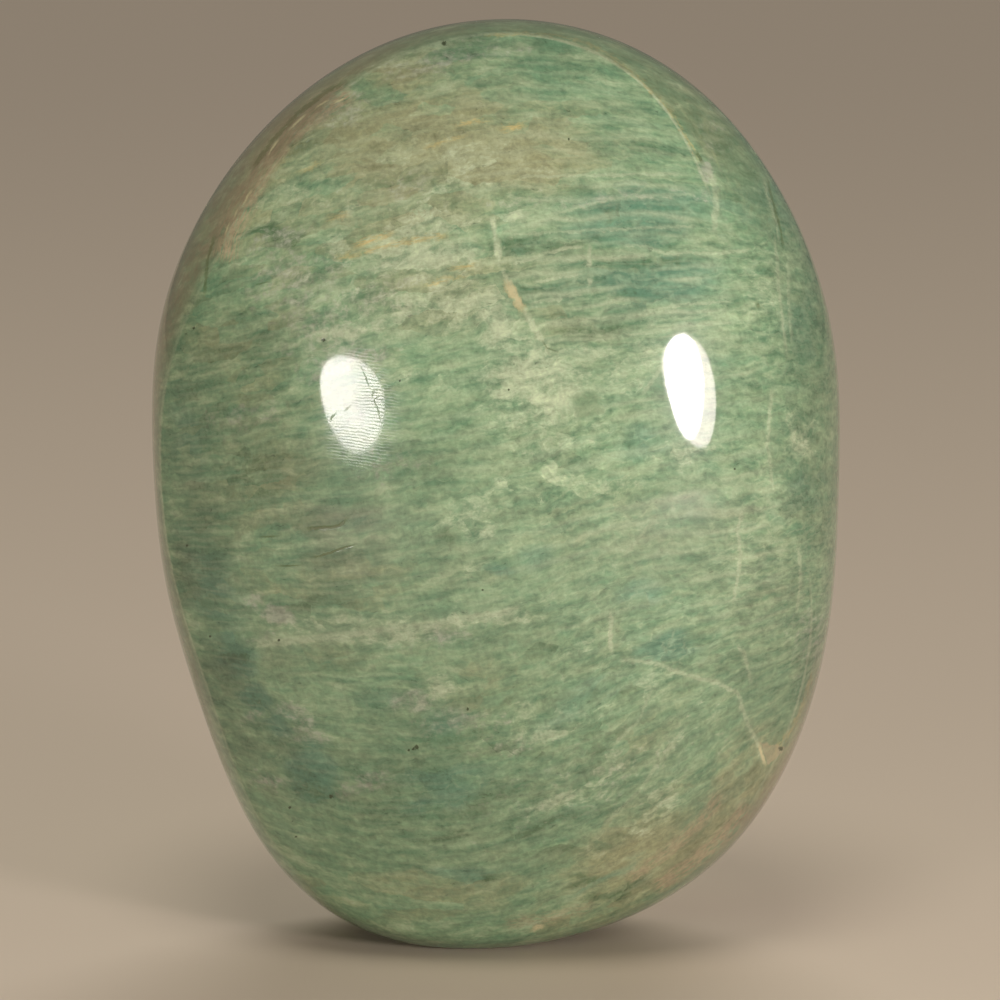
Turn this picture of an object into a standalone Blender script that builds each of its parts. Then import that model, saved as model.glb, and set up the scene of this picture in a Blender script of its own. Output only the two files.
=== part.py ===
"""A polished amazonite freeform: one egg-like stone that stands on a small flat spot.

The stone is a ball whose points are moved. From the front it follows its outline. Its front
and its back are shallow domes, a belt runs around its side, and a ridge marks where each dome
meets the belt. The middle of the flat spot is the origin, +Z is up, and the front faces -Y.
"""

import math
from collections import namedtuple

import bmesh
import bpy
from mathutils import Vector

OBJECT_NAME = "amazonite_freeform"
STONE_NAME = "stone"

# The heart is the middle of the outline, seen from the middle of the flat spot.
HEART = Vector((0.0023, -0.0002, 0.0502))

# Distances from the heart to the outline, at sixteen even steps from +X over the top.
OUTLINE = (
    0.0376, 0.0400, 0.0444, 0.0491, 0.0505, 0.0481, 0.0439, 0.0399,
    0.0372, 0.0381, 0.0428, 0.0504, 0.0514, 0.0495, 0.0449, 0.0397,
)
HALF_WIDTH = (OUTLINE[0] + OUTLINE[8]) / 2
HALF_HEIGHT = (OUTLINE[4] + OUTLINE[12]) / 2

# A belt's section is a rounded square: 2 would be an ellipse, and more is squarer.
BELT_SQUARENESS = 2.4

# dome is the dome's height, belt the height that the belt would reach at the heart, and fall
# the drop of a plain dome from the heart to the rim. lean lifts the dome toward +X. ridge
# places the ridge at even steps around, as shares of the way from the heart to the outline,
# and softness rounds it over at the same steps.
Side = namedtuple("Side", "dome belt fall lean ridge softness")

FRONT = Side(
    dome=0.0280,
    belt=0.0310,
    fall=0.0100,
    lean=0.035,
    ridge=(
        0.86, 0.83, 0.83, 0.935, 0.975, 0.95, 0.91, 0.94,
        0.96, 0.935, 0.94, 0.945, 0.94, 0.95, 0.94, 0.93,
    ),
    softness=(
        0.0050, 0.0040, 0.0015, 0.0006, 0.0006, 0.0006, 0.0007, 0.0006,
        0.0005, 0.0006, 0.0008, 0.0010, 0.0012, 0.0014, 0.0018, 0.0030,
    ),
)
BACK = Side(
    dome=0.0265,
    belt=0.0290,
    fall=0.0090,
    lean=-0.020,
    ridge=(0.93, 0.90, 0.95, 0.92, 0.88, 0.93, 0.95, 0.91),
    softness=(0.0020, 0.0030, 0.0015, 0.0020, 0.0030, 0.0020, 0.0015, 0.0025),
)

# How fine the facets are.
STEPS_AROUND = 64
STEPS_OVER = 32

# The block that cuts the flat spot.
BLOCK_SIZE = 0.06

GREEN = (0.30, 0.38, 0.22, 1.0)
ROUGHNESS = 0.12


def read_around(values, angle):
    """Read values given at even steps around the stone at any angle, as a smooth loop."""
    count = len(values)
    total = 0.0
    for step, value in enumerate(values):
        half_turn = (angle - math.tau * step / count) / 2
        if math.isclose(math.sin(half_turn), 0.0, abs_tol=1e-9):
            return value
        total += value * math.sin(count * half_turn) / (count * math.tan(half_turn))
    return total


def fit_outline(across, up):
    """Move a point of the unit disc to its place in the outline.

    Near the heart the disc is a plain ellipse, and at its rim it is the outline itself.
    """
    share = math.hypot(across, up)
    radius = read_around(OUTLINE, math.atan2(up, across))
    x = across * (HALF_WIDTH + (radius - HALF_WIDTH) * share ** 2)
    z = up * (HALF_HEIGHT + (radius - HALF_HEIGHT) * share ** 2)
    return x, z


def belt_height(side, share):
    """Height of the belt over the plane of the outline."""
    return side.belt * max(0.0, 1 - share ** BELT_SQUARENESS) ** (1 / BELT_SQUARENESS)


def plain_dome_height(side, share, x):
    """Height of the dome before its edge falls away to the ridge."""
    return side.dome - side.fall * share ** 2 + side.lean * x


def edge_falls(side):
    """The extra fall at the rim that makes the dome meet the belt at each step's ridge."""
    falls = []
    for step, share in enumerate(side.ridge):
        angle = math.tau * step / len(side.ridge)
        x, _ = fit_outline(share * math.cos(angle), share * math.sin(angle))
        drop = plain_dome_height(side, share, x) - belt_height(side, share)
        falls.append(drop / share ** 4)
    return falls


def side_height(side, falls, share, angle, x):
    """Height of the stone's surface over the plane of the outline.

    It is the lower of the belt and the dome, rounded over where they cross.
    """
    belt = belt_height(side, share)
    dome = plain_dome_height(side, share, x) - read_around(falls, angle) * share ** 4
    rounding = read_around(side.softness, angle) * share ** 4 * belt / side.belt
    return (belt + dome) / 2 - math.hypot((belt - dome) / 2, rounding)


def shape_ball(ball):
    """Move the points of a ball with its poles on Z so that they lie on the stone."""
    front_falls = edge_falls(FRONT)
    back_falls = edge_falls(BACK)
    for point in ball.verts:
        across, up, toward_front = point.co
        share = min(1.0, math.hypot(across, up))
        angle = math.atan2(up, across)
        x, z = fit_outline(across, up)
        if toward_front > 0:
            y = -side_height(FRONT, front_falls, share, angle, x)
        else:
            y = side_height(BACK, back_falls, share, angle, x)
        point.co = HEART + Vector((x, y, z))


def make_collection(name):
    """Add an empty collection to the scene."""
    collection = bpy.data.collections.new(name)
    bpy.context.scene.collection.children.link(collection)
    return collection


def make_material():
    """The plain green of the stone, with its polish."""
    material = bpy.data.materials.new("amazonite")
    material.use_nodes = True
    shader = material.node_tree.nodes["Principled BSDF"]
    shader.inputs["Base Color"].default_value = GREEN
    shader.inputs["Roughness"].default_value = ROUGHNESS
    shader.inputs["Metallic"].default_value = 0.0
    return material


def make_stone(collection):
    """The stone before its flat spot is cut."""
    mesh = bpy.data.meshes.new(STONE_NAME)
    ball = bmesh.new()
    bmesh.ops.create_uvsphere(ball, u_segments=STEPS_AROUND, v_segments=STEPS_OVER, radius=1.0)
    shape_ball(ball)
    ball.to_mesh(mesh)
    ball.free()
    mesh.materials.append(make_material())
    mesh.shade_smooth()
    stone = bpy.data.objects.new(STONE_NAME, mesh)
    collection.objects.link(stone)
    return stone


def make_block(collection):
    """A block whose top is the plane that the stone stands on."""
    mesh = bpy.data.meshes.new("floor_block")
    block_mesh = bmesh.new()
    bmesh.ops.create_cube(block_mesh, size=BLOCK_SIZE)
    block_mesh.to_mesh(mesh)
    block_mesh.free()
    block = bpy.data.objects.new("floor_block", mesh)
    block.location.z = -BLOCK_SIZE / 2
    block.hide_render = True
    block.display_type = "WIRE"
    collection.objects.link(block)
    return block


def cut_flat_spot(stone, block):
    """Cut away what reaches below the plane that the stone stands on."""
    cut = stone.modifiers.new("flat spot", "BOOLEAN")
    cut.operation = "DIFFERENCE"
    cut.solver = "EXACT"
    cut.object = block


def main():
    for leftover in list(bpy.data.objects):
        bpy.data.objects.remove(leftover, do_unlink=True)
    stone = make_stone(make_collection(OBJECT_NAME))
    block = make_block(make_collection("cutters"))
    cut_flat_spot(stone, block)


main()
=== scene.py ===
"""A polished amazonite freeform, with its studio: an add-on that is run as a script.

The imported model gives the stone's size and its place. This script makes the finer surface
and the finish: grey-green feldspar with pale streaks, teal and olive clouds, stained veins,
dark specks and a worn polish. It adds the studio floor, the lights and the camera.
"""

import math
from collections import namedtuple

import bmesh
import bpy
import numpy as np
from bpy.props import FloatProperty, FloatVectorProperty, IntProperty, PointerProperty
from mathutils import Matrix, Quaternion, Vector, noise


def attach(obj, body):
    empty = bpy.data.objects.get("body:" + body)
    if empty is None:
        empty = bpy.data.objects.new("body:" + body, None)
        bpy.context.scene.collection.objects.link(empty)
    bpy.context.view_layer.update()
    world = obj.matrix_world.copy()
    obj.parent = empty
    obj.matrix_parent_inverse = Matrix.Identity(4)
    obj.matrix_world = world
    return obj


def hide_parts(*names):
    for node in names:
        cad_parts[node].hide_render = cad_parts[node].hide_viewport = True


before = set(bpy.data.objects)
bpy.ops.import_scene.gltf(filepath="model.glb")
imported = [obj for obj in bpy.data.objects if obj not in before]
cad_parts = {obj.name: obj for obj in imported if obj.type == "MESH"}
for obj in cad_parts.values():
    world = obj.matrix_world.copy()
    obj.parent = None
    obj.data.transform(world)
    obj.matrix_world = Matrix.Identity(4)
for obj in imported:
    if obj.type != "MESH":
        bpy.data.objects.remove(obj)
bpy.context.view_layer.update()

bl_info = {
    "name": "Amazonite freeform",
    "version": (1, 0, 0),
    "blender": (4, 5, 0),
    "location": "View3D > Sidebar > Amazonite",
    "description": "Builds a polished amazonite freeform and its studio",
    "category": "Add Mesh",
}

MM = 0.001

# The heart is the middle of the outline, seen from the middle of the flat spot.
HEART = Vector((0.0023, -0.0002, 0.0502))

# Distances from the heart to the outline, at sixteen even steps from +X over the top.
OUTLINE = (
    0.0376, 0.0400, 0.0444, 0.0491, 0.0505, 0.0481, 0.0439, 0.0399,
    0.0372, 0.0381, 0.0428, 0.0504, 0.0514, 0.0495, 0.0449, 0.0397,
)
HALF_WIDTH = (OUTLINE[0] + OUTLINE[8]) / 2
HALF_HEIGHT = (OUTLINE[4] + OUTLINE[12]) / 2

# A belt's section is a rounded square: 2 would be an ellipse, and more is squarer.
BELT_SQUARENESS = 2.4

# dome is the dome's height, belt the height that the belt would reach at the heart, and fall
# the drop of a plain dome from the heart to the rim. lean lifts the dome toward +X. ridge
# places the ridge at even steps around, as shares of the way from the heart to the outline,
# and softness rounds it over at the same steps.
Side = namedtuple("Side", "dome belt fall lean ridge softness")

FRONT = Side(
    dome=0.0280,
    belt=0.0310,
    fall=0.0100,
    lean=0.035,
    ridge=(
        0.86, 0.83, 0.83, 0.935, 0.975, 0.95, 0.91, 0.94,
        0.96, 0.935, 0.94, 0.945, 0.94, 0.95, 0.94, 0.93,
    ),
    softness=(
        0.0050, 0.0040, 0.0015, 0.0006, 0.0006, 0.0006, 0.0007, 0.0006,
        0.0005, 0.0006, 0.0008, 0.0010, 0.0012, 0.0014, 0.0018, 0.0030,
    ),
)
BACK = Side(
    dome=0.0265,
    belt=0.0290,
    fall=0.0090,
    lean=-0.020,
    ridge=(0.93, 0.90, 0.95, 0.92, 0.88, 0.93, 0.95, 0.91),
    softness=(0.0020, 0.0030, 0.0015, 0.0020, 0.0030, 0.0020, 0.0015, 0.0025),
)

# The camera that took the photograph, as far as it can be told: how far it was from the heart,
# how high it stood, and how much of the stone's plane one pixel of the 1000 across covers.
CAMERA_DISTANCE = 0.480
CAMERA_ELEVATION = math.radians(8.0)
PIXEL = 0.001 / 9.11
HEART_PIXEL = (495.0, 482.0)
FRAME_WIDTH = 1000
SENSOR_WIDTH = 36.0


def read_around(values, angles):
    """Read values given at even steps around the stone at any angles, as a smooth loop."""
    count = len(values)
    total = np.zeros_like(angles)
    for step, value in enumerate(values):
        half_turn = (angles - math.tau * step / count) / 2
        on_step = np.abs(np.sin(half_turn)) < 1e-9
        safe = np.where(on_step, 1.0, half_turn)
        weight = np.sin(count * safe) / (count * np.tan(safe))
        total += value * np.where(on_step, 1.0, weight)
    return total


def fit_outline(across, up):
    """Move points of the unit disc to their places in the outline.

    Near the heart the disc is a plain ellipse, and at its rim it is the outline itself.
    """
    share = np.hypot(across, up)
    radius = read_around(OUTLINE, np.arctan2(up, across))
    x = across * (HALF_WIDTH + (radius - HALF_WIDTH) * share ** 2)
    z = up * (HALF_HEIGHT + (radius - HALF_HEIGHT) * share ** 2)
    return x, z


def belt_height(side, share):
    """Height of the belt over the plane of the outline."""
    return side.belt * np.maximum(0.0, 1 - share ** BELT_SQUARENESS) ** (1 / BELT_SQUARENESS)


def plain_dome_height(side, share, x):
    """Height of the dome before its edge falls away to the ridge."""
    return side.dome - side.fall * share ** 2 + side.lean * x


def edge_falls(side):
    """The extra fall at the rim that makes the dome meet the belt at each step's ridge."""
    share = np.array(side.ridge)
    angles = math.tau * np.arange(len(share)) / len(share)
    x, _ = fit_outline(share * np.cos(angles), share * np.sin(angles))
    return (plain_dome_height(side, share, x) - belt_height(side, share)) / share ** 4


def side_surface(side, share, angles, x):
    """Heights of one side of the stone, and how far the belt lies over the dome there."""
    belt = belt_height(side, share)
    dome = plain_dome_height(side, share, x) - read_around(edge_falls(side), angles) * share ** 4
    rounding = read_around(side.softness, angles) * share ** 4 * belt / side.belt
    height = (belt + dome) / 2 - np.hypot((belt - dome) / 2, rounding)
    return height, belt - dome


def see(points):
    """Where points of the stone stand in the photograph's frame of 1000 by 1000 pixels."""
    from_heart = points - np.array(HEART)
    rise = math.sin(CAMERA_ELEVATION)
    level = math.cos(CAMERA_ELEVATION)
    depth = CAMERA_DISTANCE + from_heart[:, 1] * level - from_heart[:, 2] * rise
    height = from_heart[:, 1] * rise + from_heart[:, 2] * level
    zoom = CAMERA_DISTANCE / depth / PIXEL
    return HEART_PIXEL[0] + from_heart[:, 0] * zoom, HEART_PIXEL[1] - height * zoom


def turn_for_back(px, py):
    """The place in the frame that a point of the back takes its clouds from."""
    return 2 * HEART_PIXEL[0] - px, 2 * HEART_PIXEL[1] - py


# How far the edges of patches wander, in pixels of the photograph's frame, and the size of the
# wandering along, through and across the layers, in millimetres.
RAGGED_EDGE = 11.0
RAGGED_SIZE = (3.5, 2.5, 1.6)

# At a patch's half sizes its strength is down by half.
PATCH_FALL = 0.7

# Soft patches of the stone. Each row is a patch: x and y of its middle, its half length and
# its half width in pixels of the photograph's frame, how steeply its length rises to the right
# in degrees, and its strength.
#
# Bluer green clouds.
TEAL_PATCHES = (
    (645, 212, 80, 26, 2, 1.0), (640, 232, 70, 12, 2, 1.0), (655, 282, 60, 26, 2, 1.1),
    (575, 292, 50, 16, 6, 0.7), (515, 245, 30, 18, 5, 0.7), (760, 200, 60, 40, -40, 0.6),
    (800, 330, 60, 25, -75, 0.5), (500, 570, 14, 7, 10, 0.9), (537, 558, 26, 14, 20, 0.7),
    (640, 595, 30, 12, 30, 0.8), (672, 648, 32, 14, 10, 1.0), (640, 440, 30, 20, 10, 0.7),
    (600, 690, 60, 12, 20, 0.6), (805, 490, 25, 20, 0, 0.6), (690, 505, 46, 16, 5, 0.55),
    (215, 590, 70, 30, -70, 0.7), (238, 655, 20, 22, 10, 1.0), (256, 698, 18, 14, -50, 1.2),
    (279, 727, 16, 12, -30, 1.0), (314, 776, 24, 26, 0, 1.2), (372, 700, 40, 12, 0, 0.6),
    (460, 792, 40, 16, 0, 0.8), (440, 722, 30, 20, 0, 0.7), (185, 430, 60, 18, -80, 0.5),
    (560, 720, 60, 14, 30, 0.5), (560, 820, 60, 10, 20, 0.6), (480, 875, 60, 8, 5, 0.7),
    (600, 880, 50, 8, 25, 0.7), (700, 430, 60, 50, 0, 0.3), (440, 775, 50, 14, 5, 0.7),
    (436, 806, 40, 6, 5, 0.9),
)
# Clear dark green clouds, and painted shade: the wide weak patches at 240, 300, at 220, 380
# and at 240, 470 darken the left side.
DARK_AND_SHADE_PATCHES = (
    (590, 335, 34, 8, 5, 0.7), (512, 245, 32, 15, 8, 0.9), (565, 250, 26, 10, 8, 0.7),
    (515, 270, 24, 6, 12, 0.7), (640, 262, 60, 14, 2, 0.5), (655, 215, 70, 14, 2, 0.5),
    (550, 292, 40, 9, 8, 0.6), (475, 212, 30, 8, 8, 0.5), (450, 238, 26, 8, 8, 0.5),
    (270, 235, 45, 12, -15, 0.9), (250, 250, 30, 20, 0, 0.5), (240, 300, 60, 40, 0, 0.4),
    (220, 380, 60, 40, 0, 0.4), (240, 470, 60, 60, 0, 0.45), (237, 658, 18, 14, -40, 0.6),
    (254, 700, 16, 12, -40, 0.6), (308, 785, 22, 18, 0, 0.55), (275, 665, 20, 10, 0, 0.5),
    (320, 790, 60, 20, 0, 0.6), (455, 745, 45, 25, 20, 0.5), (365, 510, 40, 12, 20, 0.5),
    (210, 560, 40, 20, -60, 0.5), (640, 300, 60, 12, 4, 0.4), (445, 542, 22, 14, 0, 0.7),
    (385, 470, 40, 12, 8, 0.5), (545, 650, 60, 14, 10, 0.5), (355, 665, 60, 14, 10, 0.5),
    (500, 800, 60, 12, 20, 0.5), (600, 740, 60, 12, 20, 0.5), (300, 150, 24, 16, 40, 0.6),
    (500, 702, 40, 8, 15, 0.6), (610, 692, 60, 8, 12, 0.5), (500, 752, 60, 9, 5, 0.7),
    (585, 778, 30, 8, 30, 0.6), (545, 826, 40, 8, 15, 0.7), (583, 880, 30, 7, 15, 0.7),
    (325, 603, 50, 8, 5, 0.6), (420, 655, 40, 8, 10, 0.5), (470, 801, 50, 7, -5, 0.5),
    (600, 722, 36, 7, 12, 0.7), (492, 877, 16, 8, 0, 0.9), (600, 752, 18, 7, 0, 0.8),
    (455, 835, 30, 8, 10, 0.7), (560, 850, 40, 8, 18, 0.7), (612, 893, 40, 7, 22, 0.9),
    (690, 690, 26, 12, 30, 0.5), (740, 480, 14, 18, 0, 0.5), (815, 480, 20, 14, 0, 0.35),
    (770, 590, 30, 12, 10, 0.5),
)
# Pale milky clouds, and painted glow: the patches at 688, 452 and 680, 460, just under the right
# highlight, partly stand for its glow.
PALE_AND_GLOW_PATCHES = (
    (545, 400, 60, 70, 60, 0.7), (480, 170, 90, 45, 5, 0.5), (420, 330, 90, 30, 8, 0.4),
    (590, 500, 90, 25, 30, 0.4), (640, 540, 60, 14, 40, 0.5), (430, 628, 120, 12, 8, 0.8),
    (780, 300, 12, 70, 0, 0.5), (690, 720, 60, 20, 35, 0.4), (500, 560, 70, 30, 10, 0.4),
    (285, 615, 30, 14, 10, 0.4), (520, 80, 120, 40, -5, 0.3), (430, 170, 120, 60, 5, 0.4),
    (300, 190, 70, 50, 30, 0.35), (610, 370, 60, 40, 0, 0.5), (688, 452, 36, 16, 0, 0.8),
    (440, 255, 120, 30, 8, 0.8), (440, 310, 110, 30, 8, 0.7), (680, 460, 60, 30, 10, 0.4),
    (760, 300, 30, 50, 0, 0.5), (525, 375, 50, 36, 20, 0.9), (440, 385, 60, 22, 5, 0.5),
    (470, 515, 50, 16, 10, 0.5), (255, 170, 40, 20, 50, 0.5), (419, 708, 12, 8, 10, 1.0),
    (342, 216, 16, 6, 10, 1.0), (514, 296, 18, 9, -60, 1.1), (540, 705, 50, 10, 20, 0.6),
    (560, 790, 70, 14, 30, 0.5), (605, 852, 70, 16, 28, 0.5), (520, 655, 50, 10, 10, 0.5),
    (540, 718, 60, 10, 15, 0.6), (645, 822, 60, 14, 40, 0.6), (340, 622, 90, 9, 5, 0.6),
    (445, 690, 20, 14, 0, 0.9), (550, 733, 44, 10, 15, 0.9), (640, 688, 50, 20, 10, 0.6),
    (560, 802, 44, 14, 15, 0.8), (610, 765, 50, 18, 20, 0.6), (650, 800, 40, 16, 30, 0.5),
    (430, 240, 90, 50, 8, 0.7), (499, 325, 22, 40, 10, 1.0), (339, 337, 24, 12, 5, 1.0),
    (530, 494, 44, 22, 15, 0.55), (512, 222, 18, 36, 0, 0.85), (466, 528, 36, 20, 10, 0.65),
    (477, 570, 36, 20, 10, 0.65), (518, 742, 36, 14, 10, 0.8), (580, 720, 44, 18, 15, 0.7),
    (647, 343, 20, 30, 0, 0.7), (532, 355, 24, 24, 0, 0.8), (568, 653, 44, 16, 10, 0.55),
    (798, 440, 16, 36, 0, 0.7), (412, 383, 28, 18, 0, 0.6), (517, 417, 28, 20, 0, 0.6),
    (535, 176, 30, 26, 0, 0.5), (444, 280, 36, 14, 0, 0.7), (336, 249, 16, 10, 0, 0.9),
)
# Yellower green clouds.
OLIVE_PATCHES = (
    (320, 390, 90, 60, 10, 0.35), (330, 590, 110, 40, 10, 0.4), (430, 290, 110, 40, 8, 0.6),
    (440, 150, 130, 60, 0, 0.95), (400, 220, 100, 40, 5, 0.7), (280, 150, 60, 30, 45, 0.9),
    (560, 320, 60, 40, 40, 0.4), (470, 700, 70, 50, 10, 0.4), (440, 890, 160, 30, 0, 0.5),
    (630, 865, 90, 40, 35, 0.9), (750, 780, 60, 40, 60, 0.7), (560, 530, 90, 40, 30, 0.3),
    (640, 740, 60, 30, 30, 0.4), (250, 340, 70, 90, 0, 0.5), (270, 470, 60, 90, 0, 0.45),
    (340, 130, 90, 50, 25, 0.7), (520, 160, 90, 40, 0, 0.8), (350, 575, 110, 16, 8, 0.45),
    (330, 655, 70, 16, 8, 0.35), (690, 845, 90, 18, 42, 0.9), (280, 230, 60, 60, 0, 0.6),
    (395, 75, 60, 24, 12, 0.8), (350, 545, 110, 40, 8, 0.2),
)
# Cloudy grey spots.
MIST_PATCHES = (
    (278, 613, 14, 10, 0, 1.0), (255, 600, 12, 12, 0, 0.7), (262, 636, 18, 6, 0, 0.6),
    (298, 716, 20, 10, -20, 0.65), (309, 738, 18, 10, -10, 0.7), (250, 715, 12, 8, 0, 0.5),
    (412, 698, 22, 8, 10, 0.7), (419, 708, 12, 8, 10, 0.9), (365, 785, 30, 10, 10, 0.7),
    (265, 780, 22, 10, 0, 0.6), (440, 640, 50, 10, 8, 0.5), (375, 300, 60, 30, 10, 0.5),
    (320, 330, 60, 40, 0, 0.45), (395, 465, 40, 20, 0, 0.4), (470, 720, 60, 14, 5, 0.5),
    (515, 748, 40, 7, 5, 0.5), (280, 240, 40, 14, 20, 0.5), (450, 60, 90, 14, 10, 0.5),
    (707, 172, 9, 9, 0, 0.9), (712, 140, 14, 30, 20, 0.5), (810, 640, 20, 40, 0, 0.5),
    (590, 780, 120, 40, 20, 0.3), (600, 200, 140, 10, 3, 0.4), (735, 100, 40, 20, -45, 0.5),
    (690, 80, 30, 10, -40, 0.5), (240, 420, 40, 12, 10, 0.5), (345, 365, 50, 14, 10, 0.6),
    (300, 280, 60, 40, 10, 0.5), (330, 110, 50, 20, 30, 0.5), (400, 190, 70, 20, 8, 0.4),
)
# Where thin pale layers show most.
NETWORK_PATCHES = (
    (620, 270, 170, 120, 0, 1.0), (480, 180, 140, 60, 5, 0.6), (560, 400, 110, 90, 0, 0.7),
    (770, 300, 60, 150, 0, 0.8), (760, 540, 70, 110, 0, 0.8), (600, 560, 130, 90, 20, 0.5),
    (600, 760, 150, 100, 20, 0.3),
)
# Where the grains are short and blocky.
MOSAIC_PATCHES = (
    (560, 480, 150, 80, 0, 1.0), (770, 520, 80, 150, 0, 1.0), (780, 300, 40, 120, 0, 0.7),
    (640, 640, 150, 80, 0, 1.0), (560, 780, 200, 90, 0, 0.8), (300, 740, 120, 90, 0, 0.6),
    (720, 780, 100, 60, 45, 0.7),
)
# Where fine scratches dull the polish.
DULL_PATCHES = ((356, 444, 32, 20, -20, 1.0), (378, 404, 46, 22, -75, 1.0))
# Painted shade: patches where the colour is darkened, most of all toward the left side, the
# bottom and the rims.
PAINTED_SHADE_PATCHES = (
    (195, 480, 170, 60, -85, 1.0), (440, 780, 210, 90, 0, 1.0), (430, 640, 60, 40, 0, 0.6),
    (640, 760, 120, 60, 20, 0.6), (430, 470, 70, 40, 0, 0.5), (330, 520, 110, 50, 0, 0.7),
    (352, 530, 70, 40, 0, 1.1), (815, 440, 200, 30, -88, 1.15), (757, 800, 50, 26, 60, 1.3),
    (205, 540, 120, 30, -80, 1.35), (275, 735, 90, 30, -60, 1.2), (715, 832, 120, 36, 48, 1.15),
    (610, 890, 90, 24, 25, 0.7), (808, 670, 60, 20, 80, 1.5), (314, 122, 32, 20, 30, 0.95),
    (347, 558, 50, 26, 5, 1.7), (332, 522, 44, 20, 5, 1.8), (294, 469, 40, 24, 5, 1.25),
    (252, 348, 44, 26, 0, 1.0), (263, 412, 30, 26, 0, 0.85), (220, 672, 40, 26, -60, 1.7),
    (276, 663, 24, 16, 0, 1.3), (242, 738, 34, 20, -60, 1.6), (624, 197, 40, 10, 0, 0.6),
    (780, 660, 150, 60, 75, 0.9), (330, 620, 90, 60, 0, 0.9), (440, 560, 60, 60, 0, 0.7),
    (660, 550, 120, 50, 20, 0.5), (450, 45, 120, 14, 0, 1.0), (600, 310, 60, 40, 5, 0.4),
    (520, 640, 90, 50, 0, 0.8), (690, 504, 50, 20, 5, 0.9), (578, 265, 60, 18, 3, 0.45),
    (283, 797, 34, 22, 0, 0.9), (399, 566, 32, 20, 0, 0.8), (663, 791, 44, 18, 40, 0.6),
    (290, 202, 34, 26, 0, 0.45), (268, 511, 30, 26, 0, 0.9), (186, 570, 50, 16, -80, 1.8),
    (311, 693, 30, 22, 0, 0.6),
)
# Patches where the colour is lightened: partly milkier stone, partly painted light, such as the
# glow beside the right highlight.
MILK_AND_PAINTED_LIGHT_PATCHES = (
    (494, 235, 40, 30, 0, 0.45), (500, 322, 30, 40, 0, 0.25), (588, 728, 60, 24, 15, 0.65),
    (718, 466, 50, 40, 0, 0.4), (604, 438, 50, 34, 0, 0.35), (619, 592, 44, 26, 0, 0.3),
    (490, 556, 60, 44, 0, 0.3), (559, 506, 54, 30, 0, 0.3), (739, 299, 40, 40, 0, 0.25),
    (473, 783, 44, 26, 0, 0.4), (650, 345, 26, 32, 0, 0.3), (550, 652, 70, 26, 10, 0.35),
    (517, 742, 44, 22, 0, 0.6), (535, 170, 44, 34, 0, 0.3), (517, 417, 44, 26, 0, 0.35),
    (798, 440, 22, 44, 0, 0.45), (604, 886, 64, 18, 28, 0.75), (420, 380, 44, 26, 0, 0.4),
    (528, 492, 40, 24, 0, 0.4), (526, 354, 34, 30, 0, 0.35), (492, 355, 22, 22, 0, 0.4),
    (463, 526, 34, 22, 0, 0.4), (542, 598, 54, 20, 10, 0.35), (550, 807, 54, 20, 15, 0.4),
    (265, 230, 44, 32, 30, 0.5),
)
PATCH_SETS = (
    TEAL_PATCHES, DARK_AND_SHADE_PATCHES, PALE_AND_GLOW_PATCHES, OLIVE_PATCHES, MIST_PATCHES, NETWORK_PATCHES,
    MOSAIC_PATCHES, DULL_PATCHES, PAINTED_SHADE_PATCHES, MILK_AND_PAINTED_LIGHT_PATCHES,
)

# The corners of a clear dark green grain near the middle, clockwise.
WINDOW = ((568, 397), (599, 388), (605, 414), (578, 424))

# The corners of the cream flake at the lower right ridge, clockwise.
FLAKE = ((758, 741), (788, 747), (768, 768))

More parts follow.
